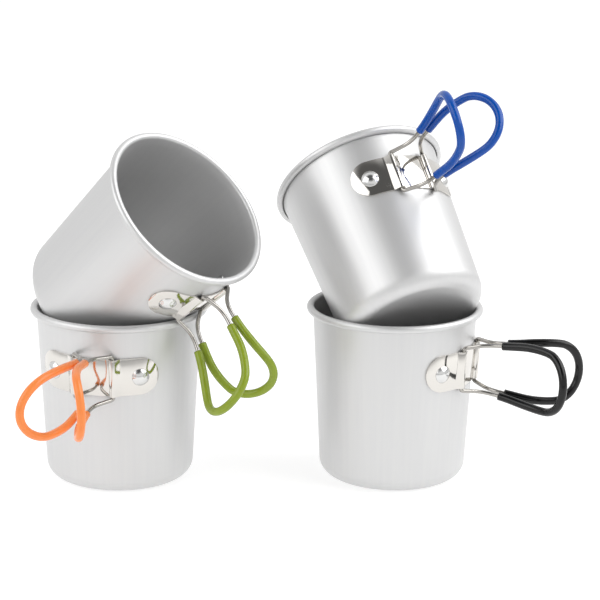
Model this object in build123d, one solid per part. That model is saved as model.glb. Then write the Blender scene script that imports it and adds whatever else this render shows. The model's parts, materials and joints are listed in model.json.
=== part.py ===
from build123d import *
import math
import os

# Four identical camping pots in two pairs. In each pair one pot stands and the other leans
# in its mouth. A pot is a drawn aluminium cup with a rolled rim, a riveted hinge bracket
# and two wire loops with plastic sleeves that fold round the cup.
#
# The frame is millimetres with +Z up. The origin is the centre of the orange pot's base.
# Each pot is drawn in its own frame: base centre at the origin, mouth up, bracket on +X.
# A bracket's left side is on -Y, which is the left hand of somebody who faces it.

# Cup
rim_radius = 43.0
cup_height = 86.0
sheet = 0.9
base_edge_radius = 35.5
neck_radius = 39.8
neck_height = 80.4
corner_radius = 8.0
bead_radius = 1.8
curl_end_angle = -112.0

# Hinge bracket, a strap bent from sheet
bracket_height = 60.0
strap_sheet = 0.8
strap_width = 18.4
strap_gap = 0.02
ramp_angle = 52.0

# Rivets
rivet_azimuth = 33.0
rivet_head_radius = 4.2
rivet_head_height = 1.9
rivet_shank_radius = 2.0
rivet_hole_radius = 2.05
rivet_tail_radius = 3.1
rivet_tail_height = 1.1

# Wire loops, each hinged on a line beside the wall
wire_radius = 1.0
channel_radius = 1.08
pivot_x = 38.92
pivot_y = 9.6
wire_end_gap = 0.6
elbow_height = 10.75
elbow_radius = 1.5
neck_spacing = 2.16
reach_angle = 40.0
neck_run = 11.0
loop_shoulder = 43.0
loop_half_width = 14.8
shoulder_height = 12.9
arc_corners = 5

# Sleeves over the wire
grip_radius = 2.0
grip_bore_radius = 1.05
bare_wire_length = 29.4

# Where each pot sits: base centre, lean and its direction, and bracket direction. Then its
# two loops, left and right: how far each lies swung from the straight-out position, its
# length from the hinge and the radius of its bend. Each loop was bent by hand, so they differ.
pots = {
    "orange": {
        "place": (0, 0, 0), "lean": 0, "lean_to": 0, "turn": 256.0,
        "swing": (-0.9, -1.1), "length": (62.5, 55.5), "bend": (60.0, 51.0),
    },
    "green": {
        "place": (-15.9, 12.07, 82.2), "lean": 47.3, "lean_to": -36.2, "turn": 325.8,
        "swing": (-13.8, -10.5), "length": (58.1, 56.5), "bend": (54.8, 38.2),
    },
    "black": {
        "place": (134.4, 4.8, 0), "lean": 0, "lean_to": 0, "turn": 337.4,
        "swing": (1.6, 6.2), "length": (57.9, 56.7), "bend": (44.4, 42.0),
    },
    "blue": {
        "place": (144.0, -14.65, 82.95), "lean": 47.2, "lean_to": 116.25, "turn": 305.0,
        "swing": (4.5, 4.4), "length": (57.7, 57.6), "bend": (56.2, 49.3),
    },
}

# Derived sizes
draft = math.atan2(neck_radius - base_edge_radius, neck_height)
bead_centre = (rim_radius - bead_radius, cup_height - bead_radius)
curl_radius = bead_radius - sheet
neck_to_bead = (bead_centre[0] - neck_radius, bead_centre[1] - neck_height)
flare = math.atan2(*neck_to_bead) - math.asin(curl_radius / math.hypot(*neck_to_bead))
bracket_wall_radius = base_edge_radius + bracket_height * math.tan(draft)
crest_radius = channel_radius + strap_sheet
reach_run = (pivot_y - neck_spacing) / math.sin(math.radians(reach_angle))
arc_start = reach_run + neck_run

# The hinge frame stands square to the wall at the bracket, so its +Z runs up the wall
hinge_frame = Plane(
    origin=(0, 0, bracket_height + bracket_wall_radius * math.tan(draft)),
    x_dir=(math.cos(draft), 0, -math.sin(draft)),
    z_dir=(math.sin(draft), 0, math.cos(draft)),
)


# One face of the cup's sheet, drawn from the axis to the end of the rim's curl.
# The depth is measured into the cup from its outer face.
def sheet_face(depth):
    corner = corner_radius - depth
    roll = curl_radius + depth
    edge_x = base_edge_radius + depth * math.tan(draft) - depth / math.cos(draft)
    reach = corner * math.tan((math.pi / 2 - draft) / 2)
    corner_start = (edge_x - reach, depth)
    corner_end = (edge_x + reach * math.sin(draft), depth + reach * math.cos(draft))
    mitre = (draft + flare) / 2
    shift = depth / math.cos((flare - draft) / 2)
    neck = (neck_radius - shift * math.cos(mitre), neck_height + shift * math.sin(mitre))
    roll_start = (bead_centre[0] - roll * math.cos(flare), bead_centre[1] + roll * math.sin(flare))
    start_angle = 180 - math.degrees(flare)
    return [
        Line((0, depth), corner_start),
        TangentArc(corner_start, corner_end, tangent=(1, 0)),
        Line(corner_end, neck),
        Line(neck, roll_start),
        CenterArc(bead_centre, roll, start_angle, curl_end_angle - start_angle),
    ]


def cup():
    outer = sheet_face(0)
    inner = sheet_face(sheet)
    curl_edge = Line(outer[-1] @ 1, inner[-1] @ 1)
    axis_edge = Line((0, 0), (0, sheet))
    section = make_face(Curve() + outer + inner + [curl_edge, axis_edge])
    body = revolve(Plane.XZ * section, Axis.Z, 360)
    for side in (-1, 1):
        body -= rivet_plane(side) * Cylinder(rivet_hole_radius, 10)
    return body


# The space inside a drafted wall that stands off the cup's outer face by the offset
def wall_cone(offset):
    base = base_edge_radius + offset / math.cos(draft)
    top = neck_radius + offset / math.cos(draft)
    return Cone(base, top, neck_height, align=(Align.CENTER, Align.CENTER, Align.MIN))


# A rivet's plane lies on the wall, square to it
def rivet_plane(side):
    azimuth = math.radians(side * rivet_azimuth)
    outward = (math.cos(azimuth), math.sin(azimuth))
    return Plane(
        origin=(bracket_wall_radius * outward[0], bracket_wall_radius * outward[1], bracket_height),
        z_dir=(outward[0] * math.cos(draft), outward[1] * math.cos(draft), -math.sin(draft)),
    )


# Section of the raised rib over one loop's wire, with a ramp on its outboard side
def rib(radius, side):
    pivot = Vector(pivot_x, side * pivot_y)
    slope = math.radians(ramp_angle)
    ramp_top = pivot + Vector(math.cos(slope), side * math.sin(slope)) * radius
    ramp_foot = ramp_top + Vector(-math.sin(slope), side * math.cos(slope)) * 8
    inner_top = pivot + Vector(0, -side * radius)
    inner_foot = inner_top + Vector(-4, 0)
    body = make_face(Polyline(pivot, ramp_top, ramp_foot, inner_foot, inner_top, close=True))
    return body + Pos(pivot) * Circle(radius)


def bracket():
    strap = wall_cone(strap_gap + strap_sheet)
    for side in (-1, 1):
        strap += hinge_frame * extrude(rib(crest_radius, side), strap_width, both=True)
    for side in (-1, 1):
        strap -= hinge_frame * extrude(rib(channel_radius, side), strap_width, both=True)
    tab_reach = bracket_wall_radius * math.sin(math.radians(rivet_azimuth))
    outline = hinge_frame * Pos(bracket_wall_radius, 0, 0) * Box(20, 2 * tab_reach, strap_width)
    for side in (-1, 1):
        outline += rivet_plane(side) * Cylinder(strap_width / 2, 12)
    body = (strap & outline) - wall_cone(strap_gap)
    for side in (-1, 1):
        body -= rivet_plane(side) * Cylinder(rivet_hole_radius, 10)
    return body


# A domed head outside, a shank through the strap and the wall, and a pressed tail inside
def rivet(side):
    dome_radius = (rivet_head_radius**2 + rivet_head_height**2) / (2 * rivet_head_height)
    dome = Pos(0, 0, strap_sheet + rivet_head_height - dome_radius) * Sphere(dome_radius)
    head = dome & Cylinder(rivet_head_radius, 10)
    shank_top = strap_sheet + rivet_head_height / 2
    shank_foot = -sheet - rivet_tail_height / 2
    shank = extrude(Plane.XY.offset(shank_foot) * Circle(rivet_shank_radius), shank_top - shank_foot)
    tail_top = -sheet - strap_gap
    tail_foot = Plane.XY.offset(tail_top - rivet_tail_height)
    tail = extrude(tail_foot * Circle(rivet_tail_radius), 2 * rivet_tail_height)
    tail = chamfer(tail.edges().sort_by(Axis.Z)[0], 0.4)
    seat = rivet_plane(side)
    head = (seat * head) - wall_cone(strap_sheet + 2 * strap_gap)
    tail = (seat * tail) & wall_cone(-sheet - strap_gap)
    return head + seat * shank + tail


# Place along the loop's plan outline, in the hinge frame from its pivot: out and sideways.
# The run goes in towards the other loop, straight out along it, then bends away.
def plan_point(run, bend_radius):
    angle = math.radians(reach_angle)
    reach = min(run, reach_run)
    out = reach * math.cos(angle) + max(0, min(run, arc_start) - reach_run)
    sideways = -reach * math.sin(angle)
    bend = max(0, run - arc_start) / bend_radius
    return out + bend_radius * math.sin(bend), sideways + bend_radius * (1 - math.cos(bend))


# Corners of the upper half of a loop, as (run, height) from the hinge to the far end
def loop_corners(length):
    corners = [(reach_run, elbow_height + 1.0), (arc_start, shoulder_height), (loop_shoulder - 9.5, 14.7)]
    end_reach = length - loop_shoulder
    step = 90 / arc_corners
    widen = 1 / math.cos(math.radians(step / 2))
    for index in range(arc_corners):
        angle = math.radians((index + 0.5) * step)
        run = loop_shoulder + end_reach * widen * math.sin(angle)
        corners.append((run, loop_half_width * widen * math.cos(angle)))
    return corners


# A path of straight runs and tangent arcs, as large as fit but for its first and last ones
def rounded_path(points, end_radius):
    radii = []
    for before, point, after in zip(points, points[1:], points[2:]):
        turn = math.radians((point - before).get_angle(after - point))
        shorter = min((point - before).length, (after - point).length)
        radii.append(0.48 * shorter / math.tan(turn / 2))
    radii[0] = end_radius
    radii[-1] = end_radius
    return FilletPolyline(*points, radius=radii)


def loop_path(side, length, bend_radius):
    points = []
    for run, height in [(0, wire_end_gap / 2), (0, elbow_height)] + loop_corners(length):
        out, sideways = plan_point(run, bend_radius)
        points.append(Vector(out, side * sideways, height))
    lower = [Vector(point.X, point.Y, -point.Z) for point in reversed(points)]
    return rounded_path(points + lower, elbow_radius)


# A tube along the path, or a rod where the bore is zero
def tube(path, radius, bore=0):
    section = Circle(radius)
    if bore:
        section -= Circle(bore)
    return sweep(Plane(path @ 0, z_dir=path % 0) * section, path=path)


# Both parts of a loop are drawn about its pivot and then set on the hinge
def loop_place(side, swing):
    return hinge_frame * Pos(pivot_x, side * pivot_y, 0) * Rot(0, 0, swing)


def grip(path):
    bare_share = bare_wire_length / path.length
    return tube(path.trim(bare_share, 1 - bare_share), grip_radius, grip_bore_radius)


def pot_place(pot):
    lean_to = Rot(0, 0, pot["lean_to"])
    lean = Rot(0, pot["lean"], 0)
    turn = Rot(0, 0, pot["turn"] - pot["lean_to"])
    return Pos(*pot["place"]) * lean_to * lean * turn


def pot_pieces(pot):
    pieces = {"cup": cup(), "bracket": bracket()}
    for index, (name, side) in enumerate((("left", -1), ("right", 1))):
        path = loop_path(side, pot["length"][index], pot["bend"][index])
        place = loop_place(side, pot["swing"][index])
        pieces["rivet_" + name] = rivet(side)
        pieces["wire_" + name] = place * tube(path, wire_radius)
        pieces["grip_" + name] = place * grip(path)
    return pieces


os.makedirs("parts", exist_ok=True)
for colour, pot in pots.items():
    for name, piece in pot_pieces(pot).items():
        export_step(pot_place(pot) * piece, f"parts/{colour}_{name}.step")
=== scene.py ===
import json
from math import asin, atan2, cos, hypot, pi, radians, sin, tan

import bmesh
import bpy
from mathutils import Matrix, Vector


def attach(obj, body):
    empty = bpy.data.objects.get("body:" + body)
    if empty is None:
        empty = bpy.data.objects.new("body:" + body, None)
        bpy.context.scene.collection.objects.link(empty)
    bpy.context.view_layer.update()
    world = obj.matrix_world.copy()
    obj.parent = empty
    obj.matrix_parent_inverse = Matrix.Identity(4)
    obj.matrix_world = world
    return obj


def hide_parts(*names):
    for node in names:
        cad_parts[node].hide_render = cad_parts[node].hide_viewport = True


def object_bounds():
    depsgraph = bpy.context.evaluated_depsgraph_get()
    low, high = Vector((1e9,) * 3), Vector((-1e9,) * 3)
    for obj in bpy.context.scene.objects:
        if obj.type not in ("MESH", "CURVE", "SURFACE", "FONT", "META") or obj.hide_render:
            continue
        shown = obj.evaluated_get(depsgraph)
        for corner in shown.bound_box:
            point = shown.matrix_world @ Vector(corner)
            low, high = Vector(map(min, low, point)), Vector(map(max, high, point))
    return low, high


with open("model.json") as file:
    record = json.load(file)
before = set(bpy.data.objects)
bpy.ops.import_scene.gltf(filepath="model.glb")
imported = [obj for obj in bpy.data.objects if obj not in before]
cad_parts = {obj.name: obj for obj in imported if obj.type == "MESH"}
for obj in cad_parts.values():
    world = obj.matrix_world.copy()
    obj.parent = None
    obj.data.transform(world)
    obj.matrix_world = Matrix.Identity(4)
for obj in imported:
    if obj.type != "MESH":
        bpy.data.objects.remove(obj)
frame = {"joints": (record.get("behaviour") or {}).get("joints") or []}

# Four identical camping pots, each a drawn aluminium cup with a riveted hinge bracket and
# two wire loops in plastic sleeves. Shapes are worked out in millimetres about each hinge.
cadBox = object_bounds()
mm = 0.001
colours = ["orange", "green", "black", "blue"]
sides = {"left": -1, "right": 1}
print("frame loaded")

cameraView = {
    "place": (0.088, -1.11745, 0.39076),
    "pitchDown": 15.13,
    "roll": 0.67,
    "lens": 142.9,
    "sensor": 36,
}

cameraData = bpy.data.cameras.new("camera")
cameraData.lens = cameraView["lens"]
cameraData.sensor_width = cameraView["sensor"]
camera = bpy.data.objects.new("camera", cameraData)
bpy.context.scene.collection.objects.link(camera)
pitch = Matrix.Rotation(radians(90 - cameraView["pitchDown"]), 4, "X")
roll = Matrix.Rotation(radians(cameraView["roll"]), 4, "Z")
camera.matrix_world = Matrix.Translation(cameraView["place"]) @ pitch @ roll
bpy.context.scene.camera = camera
print("camera placed")

wallSize = {
    "baseEdgeRadius": 35.5,  # where the wall's straight line would meet the base
    "neckRadius": 39.8,
    "neckHeight": 80.4,
    "bracketHeight": 60.0,
    "pivotOut": 38.92,  # from the cup's axis to the line between the two pivots
    "pivotAcross": 9.6,
}
draft = atan2(wallSize["neckRadius"] - wallSize["baseEdgeRadius"], wallSize["neckHeight"])
bracketWall = wallSize["baseEdgeRadius"] + wallSize["bracketHeight"] * tan(draft)


# A pot's hinge frame, from its two joints: +X out of the wall, +Y across, +Z up the wall
def hingePlace(colour):
    joints = {joint["child"]: joint for joint in frame["joints"]}
    left = joints[colour + "_loop_left"]
    right = joints[colour + "_loop_right"]
    start, end = Vector(left["pos_m"]), Vector(right["pos_m"])
    up = Vector(right["axis"]).normalized()
    across = (end - start).normalized()
    out = across.cross(up).normalized()
    place = Matrix((out, up.cross(out), up)).transposed().to_4x4()
    place.translation = (start + end) / 2
    return place @ Matrix.Scale(mm, 4)


# The pot's own frame: base centre at the origin, mouth up, bracket on +X
def potPlace(colour):
    out = Vector((cos(draft), 0, -sin(draft)))
    up = Vector((sin(draft), 0, cos(draft)))
    hingeInPot = Matrix((out, Vector((0, 1, 0)), up)).transposed().to_4x4()
    foot = Vector((0, 0, wallSize["bracketHeight"] + bracketWall * tan(draft)))
    hingeInPot.translation = foot + out * wallSize["pivotOut"]
    return hingePlace(colour) @ hingeInPot.inverted()


def arc(centre, radius, start, end, steps):
    angles = [radians(start + (end - start) * step / steps) for step in range(steps + 1)]
    return [(centre[0] + radius * cos(angle), centre[1] + radius * sin(angle)) for angle in angles]


# The rounded way past a corner, from the point before it to the point after
def softCorner(before, corner, after, steps):
    points = []
    for step in range(steps + 1):
        share = step / steps
        weights = ((1 - share) ** 2, 2 * share * (1 - share), share ** 2)
        points.append(tuple(
            sum(weight * point[axis] for weight, point in zip(weights, (before, corner, after)))
            for axis in (0, 1)
        ))
    return points


# A bmesh with one chain of edges through the points
def chain(points):
    shape = bmesh.new()
    corners = [shape.verts.new(point) for point in points]
    for before, after in zip(corners, corners[1:]):
        shape.edges.new((before, after))
    return shape


def spinRound(shape, steps):
    bmesh.ops.spin(
        shape, geom=shape.verts[:] + shape.edges[:], cent=(0, 0, 0), axis=(0, 0, 1),
        angle=2 * pi, steps=steps, use_merge=True,
    )


mergeDistance = 0.002  # mm


def finishPiece(shape, name, place, material, body, node):
    bmesh.ops.remove_doubles(shape, verts=shape.verts, dist=mergeDistance)
    bmesh.ops.recalc_face_normals(shape, faces=shape.faces)
    bmesh.ops.transform(shape, matrix=place, verts=shape.verts)
    mesh = bpy.data.meshes.new(name)
    shape.to_mesh(mesh)
    shape.free()
    mesh.shade_smooth()
    mesh.materials.append(material)
    piece = bpy.data.objects.new(name, mesh)
    bpy.context.scene.collection.objects.link(piece)
    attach(piece, body)
    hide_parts(node)
    return piece


def linear(hexColour):
    channels = [int(hexColour[start:start + 2], 16) / 255 for start in (1, 3, 5)]
    return [c / 12.92 if c < 0.04045 else ((c + 0.055) / 1.055) ** 2.4 for c in channels] + [1]


def addNode(material, kind, settings, links):
    tree = material.node_tree
    node = tree.nodes.new(kind)
    for name, value in settings.items():
        if isinstance(name, int) or name in node.inputs:
            node.inputs[name].default_value = value
        else:
            setattr(node, name, value)
    for name, source in links.items():
        tree.links.new(source, node.inputs[name])
    return node


def newMaterial(name, settings):
    material = bpy.data.materials.new(name)
    material.use_nodes = True
    shader = material.node_tree.nodes["Principled BSDF"]
    for setting, value in settings.items():
        shader.inputs[setting].default_value = value
    return material, shader


def link(material, source, target):
    material.node_tree.links.new(source, target)


# Noise whose features are this many millimetres across
def noiseSettings(size, detail):
    return {"Scale": 1 / (size * mm), "Detail": detail}


blastedAluminiumLook = {
    "colour": "#D6D6D5",
    "shadeColour": "#D1D1D2",
    "metallic": 0.75,
    "roughness": 0.46,
    "roughnessSpread": 0.02,
    "grit": 0.35,  # mm between the blast's dimples, real ones are 0.1 mm and would not show
    "dimple": 0.012,
    "gritStrength": 0.22,
    "streakWidth": 2.4,  # mm across the streaks that drawing leaves up the wall
    "streakLength": 70.0,
    "wave": 30.0,  # mm across the sheet's slow waves
    "waveDepth": 0.05,
    "waveStrength": 0.35,
}


# Drawn aluminium, bead blasted and clear anodised: a soft wide sheen, a faint grain, and
# streaks up the wall so weak that they only break the highlights
def blastedAluminium():
    look = blastedAluminiumLook
    material, shader = newMaterial("blastedAluminium", {"Metallic": look["metallic"]})
    coordinates = addNode(material, "ShaderNodeTexCoord", {}, {})
    place, unrolled = coordinates.outputs["Object"], coordinates.outputs["UV"]
    streakScale = (1 / look["streakWidth"], 1 / look["streakLength"], 1)
    stretched = addNode(material, "ShaderNodeMapping", {"Scale": streakScale}, {"Vector": unrolled})
    streak = addNode(
        material, "ShaderNodeTexNoise", {"Scale": 1.0, "Detail": 3.0},
        {"Vector": stretched.outputs["Vector"]},
    )
    grit = addNode(material, "ShaderNodeTexNoise", noiseSettings(look["grit"], 3.0), {"Vector": place})
    wave = addNode(material, "ShaderNodeTexNoise", noiseSettings(look["wave"], 1.0), {"Vector": place})
    tint = addNode(
        material, "ShaderNodeMix",
        {"data_type": "RGBA", 6: linear(look["colour"]), 7: linear(look["shadeColour"])},
        {0: streak.outputs["Fac"]},
    )
    sheenRange = {
        "From Min": 0.3, "From Max": 0.7,
        "To Min": look["roughness"] - look["roughnessSpread"],
        "To Max": look["roughness"] + look["roughnessSpread"],
    }
    sheen = addNode(material, "ShaderNodeMapRange", sheenRange, {"Value": streak.outputs["Fac"]})
    slow = addNode(
        material, "ShaderNodeBump", {"Strength": look["waveStrength"], "Distance": look["waveDepth"] * mm},
        {"Height": wave.outputs["Fac"]},
    )
    fine = addNode(
        material, "ShaderNodeBump", {"Strength": look["gritStrength"], "Distance": look["dimple"] * mm},
        {"Height": grit.outputs["Fac"], "Normal": slow.outputs["Normal"]},
    )
    link(material, tint.outputs[2], shader.inputs["Base Color"])
    link(material, sheen.outputs["Result"], shader.inputs["Roughness"])
    link(material, fine.outputs["Normal"], shader.inputs["Normal"])
    return material


# A metal that is bright but not perfect: patches of dullness and a slight unevenness
def brightMetal(name, look):
    material, shader = newMaterial(name, {"Metallic": 1.0, "Base Color": linear(look["colour"])})
    place = addNode(material, "ShaderNodeTexCoord", {}, {}).outputs["Object"]
    mark = addNode(material, "ShaderNodeTexNoise", noiseSettings(look["mark"], 4.0), {"Vector": place})
    ripple = addNode(material, "ShaderNodeTexNoise", noiseSettings(look["ripple"], 1.0), {"Vector": place})
    dullRange = {
        "From Min": 0.4, "From Max": 0.8,
        "To Min": look["roughness"], "To Max": look["roughness"] + look["dullness"],
    }
    dull = addNode(material, "ShaderNodeMapRange", dullRange, {"Value": mark.outputs["Fac"]})
    bend = addNode(
        material, "ShaderNodeBump",
        {"Strength": look["rippleStrength"], "Distance": look["rippleDepth"] * mm},
        {"Height": ripple.outputs["Fac"]},
    )
    link(material, dull.outputs["Result"], shader.inputs["Roughness"])
    link(material, bend.outputs["Normal"], shader.inputs["Normal"])
    return material


# Stainless strip, bent and then mirror polished: sharp reflections, slightly wavy
polishedSteelLook = {
    "colour": "#D8D5D0", "roughness": 0.05, "dullness": 0.10, "mark": 0.5,
    "ripple": 7.0, "rippleDepth": 0.12, "rippleStrength": 0.5,
}

# Aluminium rivet pressed by a dome set: bright, with the set's small dents
pressedRivetLook = {
    "colour": "#DADAD9", "roughness": 0.12, "dullness": 0.16, "mark": 1.2,
    "ripple": 2.0, "rippleDepth": 0.12, "rippleStrength": 0.5,
}

# Stainless spring wire, bright drawn: polished, with soft streaky dullness
drawnWireLook = {
    "colour": "#ACA9A4", "roughness": 0.10, "dullness": 0.14, "mark": 0.9,
    "ripple": 4.0, "rippleDepth": 0.03, "rippleStrength": 0.3,
}

sleeveLook = {
    "orange": ("#F4904C", "#EA813E"),
    "green": ("#8A9C28", "#7C8E22"),
    "black": ("#060607", "#030304"),
    "blue": ("#004FAC", "#004598"),
    "roughness": 0.17,
    "roughnessSpread": 0.06,
    "ripple": 5.0,  # mm across the sleeve's faint ripples
    "rippleDepth": 0.16,
    "rippleStrength": 0.45,
    "speck": 0.6,
}


# Soft PVC sleeve pushed over the wire: glossy, faintly rippled, its colour a little uneven
def glossySleeve(colour):
    look = sleeveLook
    light, dark = look[colour]
    settings = {"IOR": 1.53, "Specular IOR Level": 0.36}
    material, shader = newMaterial(colour + "SleevePvc", settings)
    place = addNode(material, "ShaderNodeTexCoord", {}, {}).outputs["Object"]
    ripple = addNode(material, "ShaderNodeTexNoise", noiseSettings(look["ripple"], 2.0), {"Vector": place})
    speck = addNode(material, "ShaderNodeTexNoise", noiseSettings(look["speck"], 2.0), {"Vector": place})
    tint = addNode(
        material, "ShaderNodeMix", {"data_type": "RGBA", 6: linear(light), 7: linear(dark)},
        {0: ripple.outputs["Fac"]},
    )
    glossRange = {
        "To Min": look["roughness"] - look["roughnessSpread"],
        "To Max": look["roughness"] + look["roughnessSpread"],
    }
    gloss = addNode(material, "ShaderNodeMapRange", glossRange, {"Value": speck.outputs["Fac"]})
    skin = addNode(
        material, "ShaderNodeBump",
        {"Strength": look["rippleStrength"], "Distance": look["rippleDepth"] * mm},
        {"Height": ripple.outputs["Fac"]},
    )
    link(material, tint.outputs[2], shader.inputs["Base Color"])
    link(material, gloss.outputs["Result"], shader.inputs["Roughness"])
    link(material, skin.outputs["Normal"], shader.inputs["Normal"])
    return material


cupMaterial = blastedAluminium()
strapMaterial = brightMetal("polishedSteel", polishedSteelLook)
rivetMaterial = brightMetal("pressedRivet", pressedRivetLook)
wireMaterial = brightMetal("drawnWire", drawnWireLook)
sleeveMaterials = {colour: glossySleeve(colour) for colour in colours}
print("materials made")

cupSize = {
    "rimRadius": 43.0,
    "height": 86.0,
    "sheet": 0.9,
    "cornerRadius": 8.0,
    "beadRadius": 1.8,
    "curlEnd": -112.0,  # degrees round the bead from straight out
    "turns": 160,
}


# One face of the sheet from the axis to the curl's end, as (radius, height)
def sheetFace(depth):
    size, wall = cupSize, wallSize
    bead = (size["rimRadius"] - size["beadRadius"], size["height"] - size["beadRadius"])
    toBead = (bead[0] - wall["neckRadius"], bead[1] - wall["neckHeight"])
    curl = size["beadRadius"] - size["sheet"]
    flare = atan2(*toBead) - asin(curl / hypot(*toBead))
    corner = size["cornerRadius"] - depth
    edge = wall["baseEdgeRadius"] + depth * tan(draft) - depth / cos(draft)
    reach = corner * tan((pi / 2 - draft) / 2)
    mitre = (draft + flare) / 2
    shift = depth / cos((flare - draft) / 2)
    neck = (wall["neckRadius"] - shift * cos(mitre), wall["neckHeight"] + shift * sin(mitre))
    points = [(0, depth), ((edge - reach) * 0.5, depth)]
    points += arc((edge - reach, corner + depth), corner, -90, -draft * 180 / pi, 14)
    foot = points[-1]
    for share in (0.25, 0.5, 0.75, 0.985):
        points.append((foot[0] + (neck[0] - foot[0]) * share, foot[1] + (neck[1] - foot[1]) * share))
    points.append(neck)
    points += arc(bead, curl + depth, 180 - flare * 180 / pi, size["curlEnd"], 22)
    return points


# The wall rolled out flat in millimetres: round the cup along U, up it along V
def unrollCup(shape):
    flat = shape.loops.layers.uv.new("unrolled")
    for face in shape.faces:
        centre = face.calc_center_median()
        middle = atan2(centre.y, centre.x)
        for corner in face.loops:
            place = corner.vert.co
            turn = atan2(place.y, place.x) - middle
            turn -= 2 * pi * round(turn / (2 * pi))
            corner[flat].uv = ((middle + turn) * wallSize["neckRadius"], place.z)


def makeCup(colour):
    outline = sheetFace(0) + sheetFace(cupSize["sheet"])[::-1]
    shape = chain([(radius, 0, height) for radius, height in outline])
    spinRound(shape, cupSize["turns"])
    unrollCup(shape)
    finishPiece(
        shape, colour + "Cup", potPlace(colour), cupMaterial,
        colour + "_pot", colour + "_cup",
    )


for colour in colours:
    makeCup(colour)
print("cups made")

strapSize = {
    "sheet": 0.8,
    "lift": 0.06,  # off the wall
    "width": 18.4,
    "channelRadius": 1.08,
    "rampAngle": 52.0,
    "rivetAzimuth": 33.0,
    "footBend": 0.7,  # how far each bend reaches either way from its corner
    "webBend": 0.3,
    "edgeBevel": 0.12,
}


# The strap's middle line from the mid-plane to one tab's tip, as (out, across, half width)
def strapHalf(side):
    size, wall = strapSize, wallSize
    middle = bracketWall / cos(draft) + size["lift"] + size["sheet"] / 2
    crest = size["channelRadius"] + size["sheet"] / 2
    pivot = (wall["pivotOut"], wall["pivotAcross"])
    half = size["width"] / 2
    rivetAzimuth = radians(size["rivetAzimuth"])

    def onWall(azimuth):
        return middle * cos(azimuth), middle * sin(azimuth)

    # the web, its bend up beside the wire, and the crest over the wire
    webCorner = asin((pivot[1] - crest) / middle)
    webEnd = webCorner - size["webBend"] / middle
    line = [onWall(webEnd * share) for share in (0, 0.25, 0.5, 0.75)]
    corner = onWall(webCorner)
    line += softCorner(onWall(webEnd), corner, (corner[0] + size["webBend"], corner[1]), 3)
    line += arc(pivot, crest, -90, size["rampAngle"], 14)

    # the flat ramp down to the wall, and the bend at its foot
    slope = radians(size["rampAngle"])
    top = Vector(line[-1])
    down = Vector((-sin(slope), cos(slope)))
    toward = top.dot(down)
    run = -toward - (toward ** 2 - top.length_squared + middle ** 2) ** 0.5
    if run < 0:
        run = -toward + (toward ** 2 - top.length_squared + middle ** 2) ** 0.5
    foot = top + down * run
    footAzimuth = atan2(foot.y, foot.x)
    tabStart = footAzimuth + size["footBend"] / middle
    line += softCorner(tuple(foot - down * size["footBend"]), tuple(foot), onWall(tabStart), 5)
    line += [onWall(tabStart + (rivetAzimuth - tabStart) * share) for share in (0.25, 0.5, 0.75, 1)]
    points = [(out, across, half) for out, across in line]
    for turn in range(1, 15):
        angle = radians(90 * turn / 14)
        points.append((*onWall(rivetAzimuth + half * sin(angle) / middle), half * cos(angle)))
    return [(out - wall["pivotOut"], across * side, height) for out, across, height in points]


def makeBracket(colour):
    section = strapHalf(-1)[:0:-1] + strapHalf(1)
    shape = chain([(out, across, -height) for out, across, height in section])
    grown = bmesh.ops.extrude_edge_only(shape, edges=shape.edges[:])["geom"]
    for corner in grown:
        if isinstance(corner, bmesh.types.BMVert):
            corner.co.z = -corner.co.z
    bmesh.ops.remove_doubles(shape, verts=shape.verts, dist=mergeDistance)
    piece = finishPiece(
        shape, colour + "Bracket", hingePlace(colour), strapMaterial,
        colour + "_pot", colour + "_bracket",
    )
    thick = piece.modifiers.new("thick", "SOLIDIFY")
    thick.thickness = strapSize["sheet"] * mm
    thick.offset = 0
    soften = piece.modifiers.new("soften", "BEVEL")
    soften.width = strapSize["edgeBevel"] * mm
    soften.segments = 2
    soften.limit_method = "ANGLE"
    soften.angle_limit = radians(50)


for colour in colours:
    makeBracket(colour)
print("brackets made")

rivetSize = {
    "headRadius": 4.2, "headHeight": 1.9, "seatGap": 0.02, "headEdge": 0.12, "shankRadius": 2.0,
    "tailRadius": 3.1, "tailHeight": 1.1, "tailDimple": 1.2, "turns": 40,
}


def rivetPlace(colour, side):
    azimuth = side * radians(strapSize["rivetAzimuth"])
    up = Vector((cos(azimuth) * cos(draft), sin(azimuth) * cos(draft), -sin(draft)))
    across = Vector((-sin(azimuth), cos(azimuth), 0))
    seat = Matrix((across, up.cross(across), up)).transposed().to_4x4()
    seat.translation = (
        bracketWall * cos(azimuth), bracketWall * sin(azimuth), wallSize["bracketHeight"],
    )
    return potPlace(colour) @ seat


# Half the rivet's outline: domed head, shank through strap and wall, dimpled tail inside
def makeRivet(colour, name):
    size = rivetSize
    seat = strapSize["sheet"] + size["seatGap"]
    wall = -cupSize["sheet"]
    dome = (size["headRadius"] ** 2 + size["headHeight"] ** 2) / (2 * size["headHeight"])
    domeEdge = 90 - asin(size["headRadius"] / dome) * 180 / pi
    tailEnd = wall - size["tailHeight"]
    outline = arc((0, seat + size["headHeight"] - dome), dome, 90, domeEdge + 4, 10)
    outline += [
        (size["headRadius"], seat + size["headEdge"]),
        (size["headRadius"] - 0.1, seat - 0.2),
        (size["shankRadius"], seat - 0.2),
        (size["shankRadius"], wall - 0.16),
        (size["tailRadius"], wall - 0.16),
        (size["tailRadius"], tailEnd + 0.3),
        (size["tailRadius"] - 0.35, tailEnd),
        (size["tailDimple"] + 0.2, tailEnd),
        (size["tailDimple"] - 0.2, tailEnd + 0.5),
        (0, tailEnd + 0.6),
    ]
    shape = chain([(radius, 0, height) for radius, height in outline])
    spinRound(shape, size["turns"])
    finishPiece(
        shape, colour + "Rivet" + name.capitalize(), rivetPlace(colour, sides[name]), rivetMaterial,
        colour + "_pot", colour + "_rivet_" + name,
    )


for colour in colours:
    for name in sides:
        makeRivet(colour, name)
print("rivets made")

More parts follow.
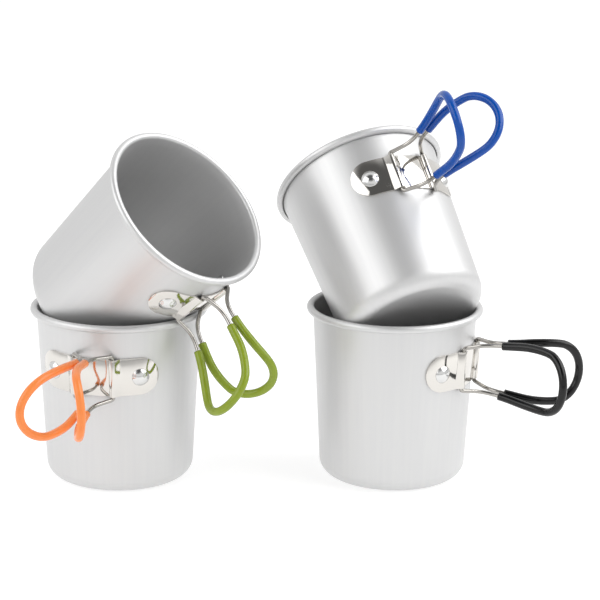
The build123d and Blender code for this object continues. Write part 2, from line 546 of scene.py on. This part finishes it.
loopSize = {
    "wireRadius": 1.0,
    "endGap": 0.6,
    "elbowHeight": 10.75,
    "elbowReach": 1.5,
    "neckSpacing": 2.16,  # from the mid-plane to a wire where the loops run side by side
    "reachAngle": 40.0,
    "neckRun": 11.0,
    "shoulder": 43.0,
    "shoulderHeight": 12.9,
    "halfWidth": 14.8,
    "arcCorners": 5,
    "sleeveRadius": 2.0,
    "boreRadius": 1.12,
    "boreDepth": 0.9,
    "boreTaper": 0.02,
    "endRim": 0.18,
    "endDrop": 0.14,
    "bareWire": 29.4,
    "ripple": 0.025,  # share by which a sleeve's thickness wanders
    "curveShare": 0.985,  # the curve's length as a share of its control line's
}

# Each loop was bent by hand. Left and right: degrees swung from straight out, length from
# the hinge, and the radius of the bend away from the other loop
loopBends = {
    "orange": {"swing": (-0.9, -1.1), "length": (62.5, 55.5), "bend": (60.0, 51.0)},
    "green": {"swing": (-13.8, -10.5), "length": (58.1, 56.5), "bend": (54.8, 38.2)},
    "black": {"swing": (1.6, 6.2), "length": (57.9, 56.7), "bend": (44.4, 42.0)},
    "blue": {"swing": (4.5, 4.4), "length": (57.7, 57.6), "bend": (56.2, 49.3)},
}


# Control points of one loop about its pivot, round from one wire end to the other
def loopPoints(side, length, bendRadius):
    size = loopSize
    angle = radians(size["reachAngle"])
    reachRun = (wallSize["pivotAcross"] - size["neckSpacing"]) / sin(angle)
    bendStart = reachRun + size["neckRun"]
    elbow, elbowReach = size["elbowHeight"], size["elbowReach"]
    corners = [
        (0, size["endGap"] / 2),
        (0, elbow - 2 * elbowReach),
        (0, elbow),
        (2 * elbowReach, elbow + 0.25),
        (reachRun, elbow + 1.0),
        (bendStart, size["shoulderHeight"]),
        (size["shoulder"] - 9.5, 14.7),
    ]
    step = 90 / size["arcCorners"]
    widen = 1 / cos(radians(step / 2))
    for index in range(size["arcCorners"]):
        turn = radians((index + 0.5) * step)
        run = size["shoulder"] + (length - size["shoulder"]) * widen * sin(turn)
        corners.append((run, size["halfWidth"] * widen * cos(turn)))
    upper = []
    for run, height in corners:
        reach = min(run, reachRun)
        bend = max(0, run - bendStart) / bendRadius
        out = reach * cos(angle) + max(0, min(run, bendStart) - reachRun) + bendRadius * sin(bend)
        across = -reach * sin(angle) + bendRadius * (1 - cos(bend))
        upper.append(Vector((out, across * side, height)))
    return upper + [Vector((point.x, point.y, -point.z)) for point in reversed(upper)]


# A round tube along the control points, as a bmesh, from one share of its length to another
def tubeAlong(points, radius, start, end, ripple):
    curve = bpy.data.curves.new("loopLine", "CURVE")
    curve.dimensions = "3D"
    spline = curve.splines.new("NURBS")
    spline.points.add(len(points) - 1)
    for index, (target, point) in enumerate(zip(spline.points, points)):
        target.co = (*point, 1)
        target.radius = 1 + ripple * sin(index * 2.3)
    spline.order_u = 3
    spline.use_endpoint_u = True
    curve.resolution_u = 10
    curve.bevel_depth = radius
    curve.bevel_resolution = 7
    curve.use_fill_caps = True
    curve.bevel_factor_mapping_start = "SPLINE"
    curve.bevel_factor_mapping_end = "SPLINE"
    curve.bevel_factor_start = start
    curve.bevel_factor_end = end
    holder = bpy.data.objects.new("loopLine", curve)
    bpy.context.scene.collection.objects.link(holder)
    evaluated = holder.evaluated_get(bpy.context.evaluated_depsgraph_get())
    mesh = bpy.data.meshes.new_from_object(evaluated)
    shape = bmesh.new()
    shape.from_mesh(mesh)
    bpy.data.objects.remove(holder)
    bpy.data.curves.remove(curve)
    bpy.data.meshes.remove(mesh)
    return shape


# The sleeve's cut ends get a rounded rim and a short bore round the wire
def openEnds(shape):
    size = loopSize
    land = size["sleeveRadius"] - size["endRim"] - size["boreRadius"]
    insets = [(size["endRim"], size["endDrop"]), (land, 0), (size["boreTaper"], -size["boreDepth"])]
    ends = [face for face in shape.faces if len(face.verts) > 4]
    for end in ends:
        for thickness, depth in insets:
            bmesh.ops.inset_individual(shape, faces=[end], thickness=thickness, depth=depth)


def makeLoop(colour, name):
    size = loopSize
    bends = loopBends[colour]
    index = list(sides).index(name)
    points = loopPoints(sides[name], bends["length"][index], bends["bend"][index])
    pivot = Matrix.Translation((0, sides[name] * wallSize["pivotAcross"], 0))
    place = hingePlace(colour) @ pivot @ Matrix.Rotation(radians(bends["swing"][index]), 4, "Z")
    body = f"{colour}_loop_{name}"
    title = name.capitalize()
    wire = tubeAlong(points, size["wireRadius"], 0, 1, 0)
    finishPiece(
        wire, colour + "Wire" + title, place, wireMaterial, body, f"{colour}_wire_{name}",
    )
    length = sum((after - before).length for before, after in zip(points, points[1:]))
    share = size["bareWire"] / (length * size["curveShare"])
    sleeve = tubeAlong(points, size["sleeveRadius"], share, 1 - share, size["ripple"])
    openEnds(sleeve)
    finishPiece(
        sleeve, colour + "Sleeve" + title, place, sleeveMaterials[colour], body, f"{colour}_grip_{name}",
    )


for colour in colours:
    for name in sides:
        makeLoop(colour, name)
print("loops made")

studio = {
    "floorColour": "#C2C2C2",
    "paintedFloorGlow": 0.6,  # painted light: the middle of the floor glows though it is no lamp, fading out towards the sides and the front
    "paintedGlowHalfWidth": (0.45, 0.9),  # metres either side, where the glow starts and stops fading
    "paintedGlowFront": (-0.18, -0.6),  # likewise towards the front
    "floorSize": 6.0,
    "skyColour": "#FFFFFF",
    "skyWalls": 0.92,
    "skyOpening": 0.12,
    "openingFaces": (-0.09, -0.50, 0.86),  # the tent opens overhead and towards the front
    "openingEdge": (0.7, 0.92),  # cosines off that direction: walls end, opening fully dark
    "middle": (0.09, 0.0, 0.12),
}

# Where each softbox stands, its width and height in metres, and its watts
softboxes = {
    "leftLight": ((-1.0, -0.7, 0.95), (1.6, 1.2), 9.5),
    "rightLight": ((1.1, -0.1, 1.05), (1.4, 1.2), 13),
}


# A pale floor with painted light: its middle glows white though nothing lights it there
def paleFloor():
    look = {
        "Base Color": linear(studio["floorColour"]), "Roughness": 0.9,
        "Emission Color": linear(studio["skyColour"]),
    }
    material, shader = newMaterial("paleFloor", look)
    place = addNode(material, "ShaderNodeTexCoord", {}, {}).outputs["Object"]
    parts = addNode(material, "ShaderNodeSeparateXYZ", {}, {"Vector": place})
    aside = addNode(material, "ShaderNodeMath", {"operation": "ABSOLUTE"}, {0: parts.outputs["X"]})
    fadeAside, fadeFront = studio["paintedGlowHalfWidth"], studio["paintedGlowFront"]
    sideRange = {
        "interpolation_type": "SMOOTHSTEP", "From Min": fadeAside[0], "From Max": fadeAside[1],
        "To Min": studio["paintedFloorGlow"], "To Max": 0.0,
    }
    frontRange = {
        "interpolation_type": "SMOOTHSTEP", "From Min": fadeFront[1], "From Max": fadeFront[0],
        "To Min": 0.0, "To Max": 1.0,
    }
    across = addNode(material, "ShaderNodeMapRange", sideRange, {"Value": aside.outputs[0]})
    along = addNode(material, "ShaderNodeMapRange", frontRange, {"Value": parts.outputs["Y"]})
    # painted light: the floor's glow, strongest in the middle and fading towards the sides and front
    paintedGlow = addNode(
        material, "ShaderNodeMath", {"operation": "MULTIPLY"},
        {0: across.outputs["Result"], 1: along.outputs["Result"]},
    )
    link(material, paintedGlow.outputs[0], shader.inputs["Emission Strength"])
    shape = bmesh.new()
    bmesh.ops.create_grid(shape, x_segments=1, y_segments=1, size=studio["floorSize"] / 2)
    mesh = bpy.data.meshes.new("floor")
    shape.to_mesh(mesh)
    shape.free()
    mesh.materials.append(material)
    floor = bpy.data.objects.new("floor", mesh)
    bpy.context.scene.collection.objects.link(floor)
    floor.location = (studio["middle"][0], 0, cadBox[0].z)


def softLight(name, place, size, power):
    data = bpy.data.lights.new(name, "AREA")
    data.shape = "RECTANGLE"
    data.size, data.size_y = size
    data.energy = power
    light = bpy.data.objects.new(name, data)
    bpy.context.scene.collection.objects.link(light)
    toward = Vector(studio["middle"]) - Vector(place)
    turn = toward.to_track_quat("-Z", "Y").to_matrix().to_4x4()
    light.matrix_world = Matrix.Translation(place) @ turn


# Bright white walls and a darker opening, as in a studio light tent
def tentSky():
    world = bpy.data.worlds.new("studio")
    world.use_nodes = True
    sky = world.node_tree.nodes["Background"]
    sky.inputs["Color"].default_value = linear(studio["skyColour"])
    direction = addNode(world, "ShaderNodeTexCoord", {}, {}).outputs["Generated"]
    facing = addNode(
        world, "ShaderNodeVectorMath",
        {"operation": "DOT_PRODUCT", 1: studio["openingFaces"]}, {0: direction},
    )
    edge = studio["openingEdge"]
    opening = {
        "interpolation_type": "SMOOTHSTEP", "From Min": edge[0], "From Max": edge[1],
        "To Min": studio["skyWalls"], "To Max": studio["skyOpening"],
    }
    fade = addNode(world, "ShaderNodeMapRange", opening, {"Value": facing.outputs["Value"]})
    link(world, fade.outputs["Result"], sky.inputs["Strength"])
    bpy.context.scene.world = world


paleFloor()
tentSky()
for name, (place, size, power) in softboxes.items():
    softLight(name, place, size, power)
bpy.context.scene.view_settings.view_transform = "Standard"
print("studio made")
